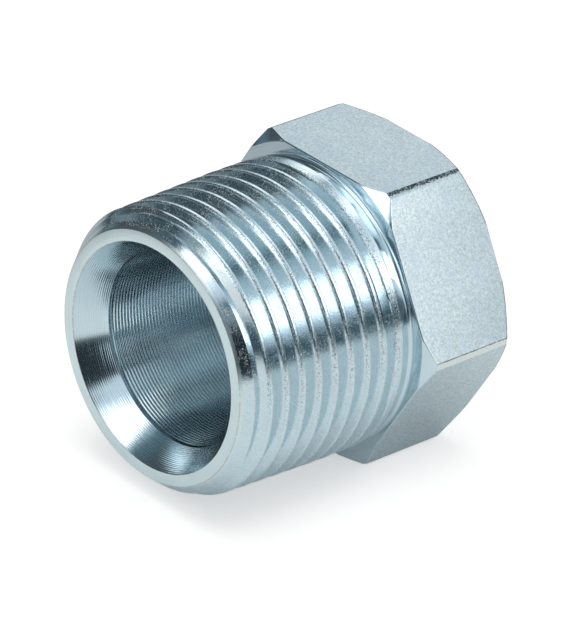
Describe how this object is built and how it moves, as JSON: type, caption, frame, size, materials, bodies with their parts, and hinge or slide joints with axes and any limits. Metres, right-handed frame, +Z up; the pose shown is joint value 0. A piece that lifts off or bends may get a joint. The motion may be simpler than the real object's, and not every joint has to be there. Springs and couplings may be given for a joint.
{
  "type": "hex pipe plug",
  "caption": "Hexagonal head pipe plug with a tapered male pipe thread, a blind bore and a cone seat, lying on one flat of its head.",
  "frame": {"origin": "on the bench, under the middle of the plug's bounding box", "axes": "+Z up from the flat that the head lies on; +Y along the plug's axis from the open threaded end to the back of the head; X across"},
  "size_m": [0.0308, 0.0288, 0.027],
  "materials": {
    "zinc_plated_steel": "bright blue-passivated zinc plate on turned steel, matte mottled on the hexagon's flats"
  },
  "bodies": {
    "root": {"plug": "zinc_plated_steel"}
  },
  "joints": []
}
